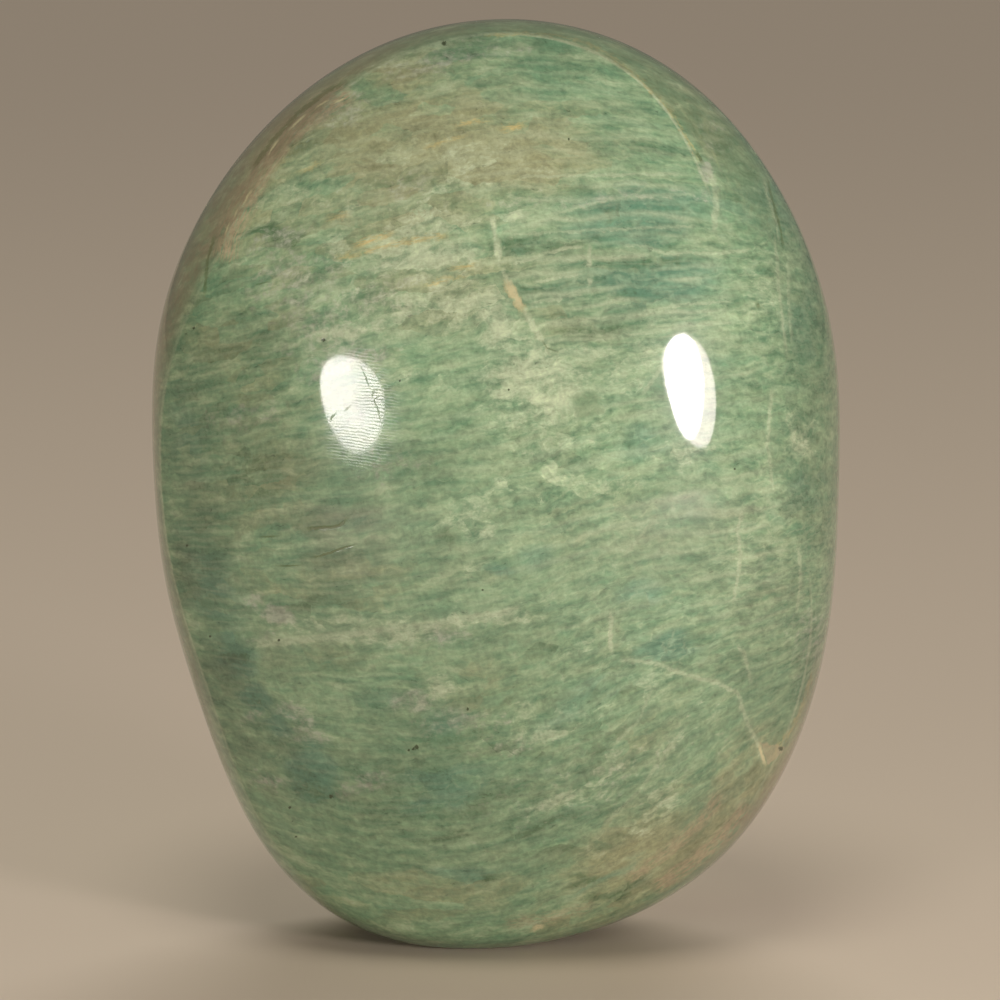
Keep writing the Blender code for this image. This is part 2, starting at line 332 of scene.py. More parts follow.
# Lines on the stone. Each row is a line: its half width in millimetres, its strength, and its
# path in pixels of the photograph's frame.
#
# Pale veins.
VEINS = (
    (0.50, 0.9, (
        (492, 212), (501, 265), (511, 288), (524, 309), (539, 337), (550, 350), (558, 380),
        (570, 422),
    )),
    (0.30, 1.0, ((589, 240), (589, 247), (590, 288), (590, 295))),
    (0.50, 0.8, ((250, 645), (330, 638), (430, 626), (498, 615), (547, 602))),
    (0.26, 0.8, ((611, 606), (611, 646), (613, 660))),
    (0.28, 0.65, (
        (613, 660), (654, 664), (687, 676), (720, 684), (738, 694), (748, 725), (758, 743),
        (765, 768),
    )),
    (0.25, 0.6, ((775, 230), (780, 300), (789, 364))),
    (0.24, 0.7, ((745, 500), (738, 530), (741, 560), (733, 610))),
    (0.24, 0.6, ((772, 385), (768, 450), (775, 500))),
    (0.20, 0.6, ((799, 540), (801, 580), (796, 620))),
    (0.45, 0.6, ((704, 168), (714, 182), (717, 205), (713, 240))),
    (0.14, 0.7, ((762, 172), (769, 200), (776, 222), (780, 250))),
    (0.20, 0.5, ((788, 255), (789, 300), (792, 350))),
    (0.30, 0.5, ((620, 560), (636, 545), (650, 526), (662, 516))),
    (0.25, 0.5, ((560, 590), (545, 600), (520, 610))),
    (0.16, 1.0, ((224, 246), (236, 217), (248, 194))),
    (0.16, 1.0, ((258, 172), (270, 156))),
    (0.16, 1.0, ((286, 138), (300, 122), (314, 111))),
    (0.45, 0.8, ((552, 345), (556, 372), (548, 400), (560, 430))),
    (0.30, 0.5, ((680, 340), (660, 372), (640, 400))),
    (0.26, 0.5, (
        (509, 228), (535, 219), (562, 213), (587, 206), (612, 200), (645, 197), (701, 195),
    )),
    (0.20, 0.6, ((504, 236), (572, 233), (646, 229), (701, 227))),
    (0.26, 0.8, ((506, 267), (539, 258), (565, 249), (594, 247))),
    (0.22, 0.6, ((616, 247), (642, 247), (664, 254), (716, 254), (756, 250))),
    (0.22, 0.7, ((528, 285), (557, 278), (590, 274))),
    (0.24, 0.7, ((524, 306), (572, 297), (602, 291))),
    (0.22, 0.6, ((546, 322), (590, 322), (627, 317), (679, 306), (738, 302))),
    (0.22, 0.6, ((556, 336), (627, 336), (664, 333))),
    (0.22, 0.6, ((513, 178), (565, 177), (627, 175), (686, 175))),
    (0.22, 0.5, ((400, 232), (440, 222), (480, 214))),
    (0.22, 0.5, ((380, 276), (430, 262), (480, 256))),
    (0.26, 0.5, ((690, 720), (668, 752), (640, 790), (600, 830))),
    (0.24, 0.6, ((735, 640), (745, 655), (752, 690))),
    (0.24, 0.5, ((655, 680), (640, 720), (610, 750))),
)
# Fine dark cracks.
CRACKS = (
    (0.20, 1.1, ((304, 530), (330, 528), (340, 527), (350, 517))),
    (0.12, 0.7, ((258, 538), (280, 537))),
    (0.10, 0.7, ((273, 567), (304, 566))),
    (0.13, 1.0, ((310, 559), (324, 556), (340, 550), (358, 545))),
    (0.10, 0.6, ((253, 287), (262, 284), (272, 282))),
    (0.07, 0.5, ((361, 366), (366, 378), (371, 392), (377, 407), (382, 424))),
    (0.06, 0.3, ((371, 388), (378, 391), (384, 390))),
    (0.20, 0.6, ((216, 232), (208, 260), (204, 300))),
    (0.22, 0.8, ((696, 150), (701, 160), (704, 166))),
    (0.16, 0.6, ((766, 175), (774, 205), (781, 230), (784, 252))),
    (0.12, 0.8, ((335, 415), (332, 418), (330, 422))),
    (0.10, 0.4, ((351, 406), (348, 409), (345, 413))),
    (0.20, 0.9, ((756, 302), (758, 306), (760, 310))),
    (0.25, 0.5, ((190, 655), (199, 692), (213, 735), (231, 780))),
    (0.30, 0.6, ((352, 79), (325, 93), (298, 114), (272, 142), (250, 172))),
    (0.10, 0.5, ((541, 339), (547, 349), (562, 354))),
)
# Rust and tan stains.
STAINS = (
    (1.80, 1.0, (
        (222, 266), (228, 235), (244, 203), (266, 167), (292, 134), (322, 107), (354, 88),
    )),
    (0.50, 1.0, ((350, 248), (366, 243), (384, 238), (398, 234))),
    (0.45, 0.7, ((332, 259), (350, 257), (372, 250), (392, 245), (420, 240), (452, 236))),
    (0.50, 0.6, ((324, 222), (340, 217), (354, 214))),
    (0.35, 0.5, ((296, 176), (312, 168), (326, 160))),
    (0.25, 0.8, ((452, 128), (470, 123), (494, 121))),
    (0.40, 0.9, ((496, 131), (514, 128), (530, 124))),
    (0.30, 0.6, ((420, 150), (445, 142), (470, 136))),
    (0.40, 0.8, ((446, 272), (462, 268), (480, 266))),
    (0.20, 0.6, ((420, 288), (446, 282), (470, 276))),
    (0.55, 0.7, ((503, 278), (510, 289), (517, 301), (526, 316))),
    (0.22, 0.5, (
        (480, 36), (520, 34), (560, 36), (585, 43), (608, 54), (640, 80), (668, 108), (692, 147),
        (701, 165),
    )),
    (0.26, 0.5, ((814, 668), (806, 700), (793, 727), (780, 745), (771, 767))),
    (1.40, 1.0, ((752, 800), (730, 828), (700, 856), (650, 890))),
    (0.90, 0.8, ((724, 790), (704, 820), (672, 850), (625, 884))),
    (0.80, 0.5, ((600, 905), (550, 918), (500, 925))),
)

# Dark specks: x and y of each one's middle, and its radius, in pixels of the photograph's frame.
SPECKS = (
    (324, 341, 2.0), (444, 44, 2.6), (194, 329, 1.4), (569, 140, 1.3), (735, 470, 1.1),
    (509, 391, 1.2), (483, 591, 1.2), (409, 751, 1.4), (417, 748, 2.6), (468, 710, 1.4),
    (331, 797, 2.0), (290, 808, 1.6), (279, 641, 1.5), (210, 637, 1.3), (296, 837, 1.3),
    (187, 546, 1.3), (400, 382, 1.1), (781, 749, 2.6),
)

# A speck's own area ends between these distances from its middle, in pixels.
SPECK_REACH = (18, 12)

# Thin cream lines: dashes along the upper left ridge and the middle of a stain, with painted
# highlights: a glint at a chip at the base and one along the flake's edge.
CREAM_LINES_AND_GLINTS = (
    (0.12, 1.0, ((225, 237), (227, 230), (230, 223))),
    (0.10, 0.8, ((234, 220), (236, 214), (239, 208))),
    (0.12, 1.0, ((242, 208), (247, 198), (253, 189))),
    (0.12, 1.0, ((267, 158), (273, 148), (280, 138))),
    (0.12, 1.0, ((288, 132), (297, 123), (308, 113))),
    (0.10, 0.8, ((314, 110), (322, 104), (330, 100))),
    (0.10, 0.9, ((334, 104), (340, 101), (348, 98))),
    (0.30, 1.0, ((529, 931), (538, 928), (546, 925))),
    (0.45, 0.8, ((505, 280), (510, 289), (517, 301), (525, 315))),
    (0.20, 1.0, ((758, 742), (762, 755), (766, 768))),
)

LINE_SETS = {"veins": VEINS, "cracks": CRACKS, "stains": STAINS, "cream_and_glints": CREAM_LINES_AND_GLINTS}

# A line's strength grows over END_FADE pixels from each end. Beside the line it fades between
# the two distances of LINE_REACH. Where a second line is about as near, it fades between the
# two shares of NEXT_LINE, which compare the nearest line's distance with the second's.
END_FADE = 12.0
LINE_REACH = (28, 14)
NEXT_LINE = (0.5, 0.25)

# How strongly the ridge shows as a pale line, how strongly the belt outside it takes its colour,
# which is painted shade where it is dark green and a stain where it is brown, and how brown it
# is, at the sixteen steps of the outline.
RIDGE_LINE = (
    0.0, 0.0, 0.1, 1.0, 0.7, 0.4, 0.4, 0.4, 0.7, 0.7, 0.4, 0.2, 0.2, 0.2, 0.4, 0.6,
)
BELT_SHADE_AND_STAIN = (
    0.7, 0.8, 0.75, 0.7, 0.65, 0.75, 0.75, 0.75, 0.5, 0.7, 0.6, 0.2, 0.1, 0.5, 0.9, 0.6,
)
BELT_BROWN = (
    0.1, 0.0, 0.1, 0.4, 0.5, 0.9, 1.0, 1.0, 0.6, 0.3, 0.4, 0.5, 0.5, 0.9, 1.0, 0.7,
)

# How far outside the ridge the belt's painted shade and stain begin, in millimetres, and how
# softly.
SHADE_START = (
    4.0, 4.0, 2.2, 0.0, 0.0, 0.0, 0.0, 0.0, 0.0, 0.0, 0.5, 1.0, 1.0, 0.5, 0.0, 1.0,
)
SHADE_SOFTNESS = (
    5.0, 5.0, 4.0, 1.0, 1.0, 2.0, 3.0, 3.0, 1.5, 1.0, 3.0, 4.0, 4.0, 4.0, 3.0, 5.0,
)
LEAST_SOFTNESS = 0.8

# Within this distance of the rim, in metres, the front's clouds change into the back's.
SIDE_BLEND = 0.004

# The marks fade out between these distances from the rim, in metres.
RIM_MARKS = (0.0005, 0.0025)

# The swirls that the layers follow: their size in millimetres, their seed and their reach.
LAYER_SWIRLS = ((14.0, 5.0, 0.5), (4.0, 9.0, 0.25))

# How the layers lean up to the right at the heart, and how that changes with height and with
# its square. How they curl up toward the sides, and how that changes with height.
LAYER_LEAN = (0.23, -0.0015, -0.00006)
LAYER_CURL = (0.0050, -0.00045)

# From this far to the right on, around this height and over this reach in millimetres, the
# layers lie nearly level.
LEVEL_START = 15
LEVEL_SOFTNESS = 20
LEVEL_SHARE = 0.15
LEVEL_HEIGHT = -4
LEVEL_REACH = 13

# The seed of the faint waves in the polish.
WAVE_SEED = 3.0

# Without a seed above zero the swirls would follow the clock and differ from run to run.
SWIRL_SEED = 1


def drift_places(places, size, seed):
    """Smooth noise from -1 to 1 in three directions, with swirls of one size."""
    noise.seed_set(SWIRL_SEED)
    shift = Vector((seed, seed * 2.0, -seed))
    return np.array([noise.noise_vector(Vector(place) / size + shift) for place in places])


def follow_layers(points):
    """Places along, through and across the stone's layers, in millimetres from the heart.

    The layers lean and curl with height, and they lie level near the right side's middle.
    """
    place = (points - np.array(HEART)) / MM
    bent = place.copy()
    for size, seed, reach in LAYER_SWIRLS:
        bent += drift_places(place, size, seed) * reach
    x, y, z = bent.T
    lean = LAYER_LEAN[0] + LAYER_LEAN[1] * z + LAYER_LEAN[2] * z ** 2
    curl = LAYER_CURL[0] + LAYER_CURL[1] * z
    past = x - LEVEL_START
    level = LEVEL_SHARE * (past + np.sqrt(past ** 2 + LEVEL_SOFTNESS))
    level *= np.exp(-((z - LEVEL_HEIGHT) / LEVEL_REACH) ** 2)
    across = z - x * lean - x ** 2 * curl / 2 + level + y * 0.1
    return np.column_stack((x + z * 0.25, y, across))


def cover(patches, px, py):
    """How strongly soft patches cover places of the frame."""
    total = np.zeros_like(px)
    for x, y, half_length, half_width, slope, strength in patches:
        turn = math.radians(slope)
        right = px - x
        up = y - py
        along = (right * math.cos(turn) + up * math.sin(turn)) / half_length
        across = (up * math.cos(turn) - right * math.sin(turn)) / half_width
        share = np.exp(-(along ** 2 + across ** 2) * PATCH_FALL)
        total = np.maximum(total, strength * share)
    return total


def smooth_step(low, high, values):
    """0 up to low, 1 from high on, and a smooth rise between. High may be under low."""
    part = np.clip((values - low) / (high - low), 0.0, 1.0)
    return part * part * (3 - 2 * part)


def follow_lines(lines, px, py):
    """Place points along and across their nearest line, in millimetres, with its strength.

    The strength fades at the ends of a line, well away from it, and where another line is
    about as near. The last row is the line's half width.
    """
    nearest = np.full_like(px, np.inf)
    second = np.full_like(px, np.inf)
    found = np.zeros((4, len(px)))
    found[3] = 1.0
    for width, strength, corners in lines:
        from_line = np.full_like(px, np.inf)
        own = np.zeros((4, len(px)))
        path = np.array(corners, dtype=float)
        steps = np.diff(path, axis=0)
        lengths = np.hypot(steps[:, 0], steps[:, 1])
        starts = np.concatenate(([0.0], np.cumsum(lengths)))
        end = min(END_FADE, starts[-1] / 3)
        for corner, step, length, start in zip(path, steps, lengths, starts):
            right = px - corner[0]
            down = py - corner[1]
            along = (right * step[0] + down * step[1]) / length
            held = np.clip(along, 0.0, length)
            distance = np.hypot(
                right - step[0] / length * held, down - step[1] / length * held
            )
            side = np.sign(right * step[1] - down * step[0])
            total = start + along
            fade = smooth_step(0, end, total) * smooth_step(starts[-1], starts[-1] - end, total)
            fade *= smooth_step(*LINE_REACH, distance)
            closer = distance < from_line
            from_line = np.where(closer, distance, from_line)
            values = (
                total * PIXEL / MM, distance * side * PIXEL / MM, strength * fade, width
            )
            for row, value in enumerate(values):
                own[row] = np.where(closer, value, own[row])
        closer = from_line < nearest
        second = np.minimum(second, np.where(closer, nearest, from_line))
        nearest = np.where(closer, from_line, nearest)
        found = np.where(closer, own, found)
    found[2] *= smooth_step(*NEXT_LINE, nearest / second)
    return found


def inside_sides(corners, px, py):
    """Distances in millimetres inside each side of a shape with its corners clockwise."""
    rows = []
    for start, end in zip(corners, corners[1:] + corners[:1]):
        right = end[0] - start[0]
        down = end[1] - start[1]
        inside = (py - start[1]) * right - (px - start[0]) * down
        rows.append(inside / math.hypot(right, down) * PIXEL / MM)
    return rows


def find_specks(px, py):
    """Where points stand from their nearest speck, in its radii, and whether it is near."""
    nearest = np.full_like(px, np.inf)
    found = np.zeros((3, len(px)))
    for x, y, radius in SPECKS:
        right = px - x
        up = y - py
        distance = np.hypot(right, up)
        closer = distance < nearest
        nearest = np.where(closer, distance, nearest)
        values = (right / radius, up / radius, smooth_step(*SPECK_REACH, distance))
        for row, value in enumerate(values):
            found[row] = np.where(closer, value, found[row])
    return found


def write_attribute(mesh, name, kind, values):
    """Store values for each point of a mesh."""
    attribute = mesh.attributes.new(name, kind, "POINT")
    field = {"FLOAT_VECTOR": "vector", "FLOAT_COLOR": "color"}[kind]
    attribute.data.foreach_set(field, np.ascontiguousarray(values, dtype=np.float32).ravel())


def read_points(mesh):
    """The points of a mesh as rows of an array."""
    points = np.empty(len(mesh.vertices) * 3, dtype=np.float32)
    mesh.vertices.foreach_get("co", points)
    return points.reshape(-1, 3).astype(float)


def make_ball(cuts):
    """A ball of even quads, as a cube with a grid on each face, and its points."""
    cube = bmesh.new()
    bmesh.ops.create_cube(cube, size=2.0)
    bmesh.ops.subdivide_edges(cube, edges=cube.edges[:], cuts=cuts, use_grid_fill=True)
    mesh = bpy.data.meshes.new("polished_stone")
    cube.to_mesh(mesh)
    cube.free()
    points = np.tan(read_points(mesh) * math.pi / 4)
    return mesh, points / np.linalg.norm(points, axis=1, keepdims=True)


# How far apart, as a share of the way to the outline, the gap between dome and belt is read to
# find how steeply it changes, and the least steepness that it may have.
RIDGE_STEP = 0.004
LEAST_STEEPNESS = 0.005


def ridge_distance(side, share, angles):
    """Distances in millimetres from the ridge along the stone's face, positive inside it."""
    inner = np.maximum(share - RIDGE_STEP, 0.0)
    outer = inner + 2 * RIDGE_STEP
    gaps = []
    for part in (share, inner, outer):
        x, _ = fit_outline(part * np.cos(angles), part * np.sin(angles))
        gaps.append(side_surface(side, part, angles, x)[1])
    steepness = np.maximum(np.abs(gaps[2] - gaps[1]) / (2 * RIDGE_STEP), LEAST_STEEPNESS)
    return gaps[0] / steepness * read_around(OUTLINE, angles) / MM


def shape_stone(mesh, ball):
    """Move the points of a ball onto the stone, and store what its markings need."""
    across, up, toward_front = ball.T
    share = np.minimum(1.0, np.hypot(across, up))
    angles = np.arctan2(up, across)
    x, z = fit_outline(across, up)
    front_height, _ = side_surface(FRONT, share, angles, x)
    back_height, _ = side_surface(BACK, share, angles, x)
    is_front = toward_front > 0
    y = np.where(is_front, -front_height, back_height)
    points = np.column_stack((x, y, z)) + np.array(HEART)
    mesh.vertices.foreach_set("co", points.astype(np.float32).ravel())

    flow = follow_layers(points)
    px, py = see(points)
    back_px, back_py = turn_for_back(px, py)
    front = smooth_step(-SIDE_BLEND, SIDE_BLEND, -y)
    ragged = drift_places(flow / RAGGED_SIZE, 1.0, 2.0) * RAGGED_EDGE
    tones = []
    for patches in PATCH_SETS:
        shown = cover(patches, px + ragged[:, 0], py + ragged[:, 1])
        hidden = cover(patches, back_px + ragged[:, 0], back_py + ragged[:, 1])
        tones.append(hidden + (shown - hidden) * front)
    # The dark and pale clouds also carry painted shade on the left side and painted glow under
    # the right highlight.
    write_attribute(mesh, "clouds", "FLOAT_COLOR", np.column_stack(tones[:4]))
    write_attribute(mesh, "details", "FLOAT_COLOR", np.column_stack(tones[4:8]))
    # The flow's fourth value is painted shade and light: the darkened patches less the lightened.
    write_attribute(mesh, "flow", "FLOAT_COLOR", np.column_stack((flow, tones[8] - tones[9])))

    side_px = np.where(is_front, px, back_px)
    side_py = np.where(is_front, py, back_py)
    inside_rim = smooth_step(*RIM_MARKS, np.abs(y))
    for name, lines in LINE_SETS.items():
        found = follow_lines(lines, side_px, side_py)
        found[2] *= inside_rim
        write_attribute(mesh, name, "FLOAT_COLOR", found.T)
    right, above, near = find_specks(side_px, side_py)
    write_attribute(
        mesh, "specks", "FLOAT_VECTOR", np.column_stack((right, above, near * inside_rim))
    )
    ridge = np.where(
        is_front, ridge_distance(FRONT, share, angles), ridge_distance(BACK, share, angles)
    )
    write_attribute(mesh, "ridge", "FLOAT_VECTOR", np.column_stack((
        ridge, read_around(RIDGE_LINE, angles), inside_rim
    )))
    start = read_around(SHADE_START, angles)
    softness = np.maximum(read_around(SHADE_SOFTNESS, angles), LEAST_SOFTNESS)
    write_attribute(mesh, "belt", "FLOAT_VECTOR", np.column_stack((
        (ridge + start) / softness, read_around(BELT_SHADE_AND_STAIN, angles),
        read_around(BELT_BROWN, angles),
    )))
    for name, kind, corners in (
        ("flake", "FLOAT_VECTOR", FLAKE), ("window", "FLOAT_COLOR", WINDOW),
    ):
        sides = inside_sides(corners, px, py)
        sides[0] = np.where(is_front, sides[0], -1.0)
        write_attribute(mesh, name, kind, np.column_stack(sides))


class Amount:
    """A number that varies over the stone. Arithmetic on it adds Math nodes."""

    def __init__(self, nodes, socket):
        self.nodes = nodes
        self.socket = socket

    def calculate(self, operation, *values):
        return self.nodes.number(
            "ShaderNodeMath", {"operation": operation}, dict(enumerate(values))
        )

    def __add__(self, other):
        return self.calculate("ADD", self, other)

    def __radd__(self, other):
        return self.calculate("ADD", other, self)

    def __sub__(self, other):
        return self.calculate("SUBTRACT", self, other)

    def __rsub__(self, other):
        return self.calculate("SUBTRACT", other, self)

    def __mul__(self, other):
        return self.calculate("MULTIPLY", self, other)

    def __truediv__(self, other):
        return self.calculate("DIVIDE", self, other)

    def __rtruediv__(self, other):
        return self.calculate("DIVIDE", other, self)

    def __abs__(self):
        return self.calculate("ABSOLUTE", self)

    def lower(self, other):
        """The lower of this and another amount."""
        return self.calculate("MINIMUM", self, other)

    def higher(self, other):
        """The higher of this and another amount."""
        return self.calculate("MAXIMUM", self, other)

    def rise(self, low, high):
        """0 up to low, 1 from high on, and a smooth rise between. High may be under low."""
        return self.nodes.number(
            "ShaderNodeMapRange",
            {"interpolation_type": "SMOOTHSTEP"},
            {"Value": self, "From Min": low, "From Max": high},
        )


class NodeSet:
    """The nodes of one tree, added by their type, settings and socket values."""

    def __init__(self, tree):
        self.tree = tree

    def add(self, kind, settings=None, values=None):
        """Add a node, make its settings, then give its sockets values or links."""
        node = self.tree.nodes.new(kind)
        for name, setting in (settings or {}).items():
            setattr(node, name, setting)
        for name, value in (values or {}).items():
            socket = value.socket if isinstance(value, Amount) else value
            if isinstance(socket, bpy.types.NodeSocket):
                self.tree.links.new(socket, node.inputs[name])
            else:
                node.inputs[name].default_value = socket
        return node

    def number(self, kind, settings=None, values=None):
        """Add a node and take its first output as an amount."""
        return Amount(self, self.add(kind, settings, values).outputs[0])

    def vector(self, operation, *values):
        """Vector Math on vectors, with a vector as its result."""
        node = self.add("ShaderNodeVectorMath", {"operation": operation}, dict(enumerate(values)))
        return node.outputs["Vector"]

    def scaled(self, vector, scale):
        """A vector times one number."""
        return self.add(
            "ShaderNodeVectorMath", {"operation": "SCALE"}, {0: vector, "Scale": scale}
        ).outputs["Vector"]

    def combine(self, x, y, z):
        """A vector from three amounts."""
        return self.add("ShaderNodeCombineXYZ", None, {"X": x, "Y": y, "Z": z}).outputs[0]

    def parts(self, vector):
        """The three amounts of a vector."""
        node = self.add("ShaderNodeSeparateXYZ", None, {0: vector})
        return [Amount(self, output) for output in node.outputs]

    def noise(self, vector, size, detail=2.0, roughness=0.5):
        """Noise from 0 to 1, with features of one size, as a number."""
        return self.number("ShaderNodeTexNoise", None, {
            "Vector": vector, "Scale": 1 / size, "Detail": detail, "Roughness": roughness,
        })

    def bend(self, place, field, size, reach):
        """Move places by noise with swirls of one size, read from a field of places."""
        node = self.add("ShaderNodeTexNoise", None, {
            "Vector": field, "Scale": 1 / size, "Detail": 2.0,
        })
        swirls = self.vector("SUBTRACT", node.outputs["Color"], (0.5, 0.5, 0.5))
        return self.vector("ADD", place, self.scaled(swirls, reach))

    def mix(self, share, under, over, blend="MIX"):
        """Lay one colour over another. Each is a socket, or red, green and blue."""
        colours = [
            colour if isinstance(colour, bpy.types.NodeSocket) else (*colour, 1.0)
            for colour in (under, over)
        ]
        node = self.add(
            "ShaderNodeMix", {"data_type": "RGBA", "blend_type": blend},
            {0: share, 6: colours[0], 7: colours[1]},
        )
        return node.outputs[2]

    def shaded(self, colour, share):
        """A colour times one amount."""
        return self.mix(1.0, colour, self.combine(share, share, share), "MULTIPLY")


def linear(red, green, blue):
    """A colour as a screen shows it, from 0 to 255, as the shader needs it."""
    parts = []
    for value in (red / 255, green / 255, blue / 255):
        parts.append(value / 12.92 if value <= 0.04045 else ((value + 0.055) / 1.055) ** 2.4)
    return tuple(parts)


# The lengths of a noise's grains along, through and across the layers, in millimetres, with
# the noise's detail and roughness.
Grain = namedtuple("Grain", "length depth thickness detail roughness")

LONG_BANDS = Grain(5.0, 4.0, 1.3, 4.0, 0.6)
SHORT_BANDS = Grain(3.8, 3.0, 1.2, 3.0, 0.65)
DASHES = Grain(0.8, 0.8, 0.48, 3.0, 0.68)
WEAVE = Grain(0.42, 0.6, 1.4, 2.0, 0.6)
BROAD = Grain(4.5, 4.0, 2.4, 2.0, 0.6)
MOTTLE = Grain(1.9, 1.5, 0.95, 4.0, 0.7)
NICKS = Grain(0.9, 0.8, 0.28, 2.0, 0.6)

# The swirls that crumple the layers, and those that make the crystal grains ragged: their size
# and their reach in millimetres.
CRUMPLE = (1.5, 0.9)
RAGGED_GRAINS = (0.5, 0.3)

# The sizes of the two plain noises, in millimetres.
WIGGLE_SIZE = 0.6
GRIT_SIZE = 0.2

# Thin pale layers: their spacing in millimetres, how far they bend as a share of it, their
# length in millimetres, and their seed.
LAMELLAE = (1.9, 1.4, 10.0, 0.0)
FINE_LAMELLAE = (0.95, 1.6, 5.5, 4.0)

# The lengths of crystal grains along, through and across the layers, in millimetres.
BLOCK_SIZE = (4.8, 4.0, 1.7)
CELL_SIZE = (2.6, 2.4, 1.5)

# The shader's own values for polished feldspar with a faint softer coat, and the roughness of
# its polish where nothing dulls it.
SHINE = {
    "IOR": 1.53, "Specular IOR Level": 0.75, "Coat Weight": 0.2, "Coat Roughness": 0.3,
}
POLISH = 0.045

# The distance between the fine scratches, in millimetres.
SCRATCH_GAP = 0.33


def layered_noise(nodes, flow, grain):
    """Noise from 0 to 1 whose grains lie along the layers."""
    place = nodes.vector("DIVIDE", flow, (grain.length, grain.depth, grain.thickness))
    return nodes.noise(place, 1.0, grain.detail, grain.roughness)


def crystal_grains(nodes, flow, size):
    """A random colour for each crystal grain, and the distance to the grain's edge."""
    values = {"Vector": nodes.vector("DIVIDE", flow, size), "Scale": 1.0}
    colours = nodes.add("ShaderNodeTexVoronoi", None, values).outputs["Color"]
    edge = nodes.number("ShaderNodeTexVoronoi", {"feature": "DISTANCE_TO_EDGE"}, values)
    return colours, edge


def read_attribute(nodes, name):
    """The three amounts of a stored colour or vector, and its fourth."""
    node = nodes.add("ShaderNodeAttribute", {"attribute_name": name})
    return (*nodes.parts(node.outputs["Vector"]), Amount(nodes, node.outputs["Alpha"]))


def draw_lamellae(nodes, flow, spacing, bend, length, seed):
    """Thin pale layers that run side by side, meet and part, from 0 to 1."""
    x, y, across = nodes.parts(flow)
    swell = nodes.noise(nodes.combine(x / 8.0, y / 9.0 + seed, across / 3.0), 1.0, 3.0, 0.5)
    phase = across / spacing + (swell - 0.5) * bend
    layer = phase.calculate("FLOOR", phase)
    offset = abs(phase - layer - 0.5)
    reach = nodes.noise(nodes.combine(x / length, y / length, layer * 3.7 + seed), 1.0, 2.0)
    return (offset / (reach * 0.6 + 0.05)).rise(1.0, 0.0) * reach.rise(0.32, 0.58)


def trace_line(line, wiggle):
    """A stored line as a mask from 0 to 1, with a wiggle and a width that varies."""
    _, across, strength, width = line
    return (abs(across + (wiggle - 0.5) * width * 2.4) / width).rise(1.25, 0.35) * strength


def trace_vein(line, wiggle, mottle):
    """A stored vein as a mask from 0 to 1, ragged, with gaps and a soft halo."""
    _, across, strength, width = line
    ragged = abs(across + (mottle - 0.5) * 0.9 + (wiggle - 0.5) * 0.5) / width
    core = ragged.rise(1.6, 0.3) * (mottle * 1.3 + 0.2)
    halo = ragged.rise(3.6, 0.8) * 0.3
    return core.higher(halo) * strength


def trace_stain(nodes, line, wiggle):
    """A stored stain as a mask from 0 to 1, of ragged threads that run along its line."""
    along, across, strength, width = line
    threads = nodes.noise(nodes.combine(along / 1.5, across / 0.2, 0.0), 1.0, 3.0, 0.6)
    gap = abs(across + (wiggle - 0.5) * 1.2) / width
    return gap.rise(1.3, 0.2) * threads.rise(0.34, 0.58) * strength


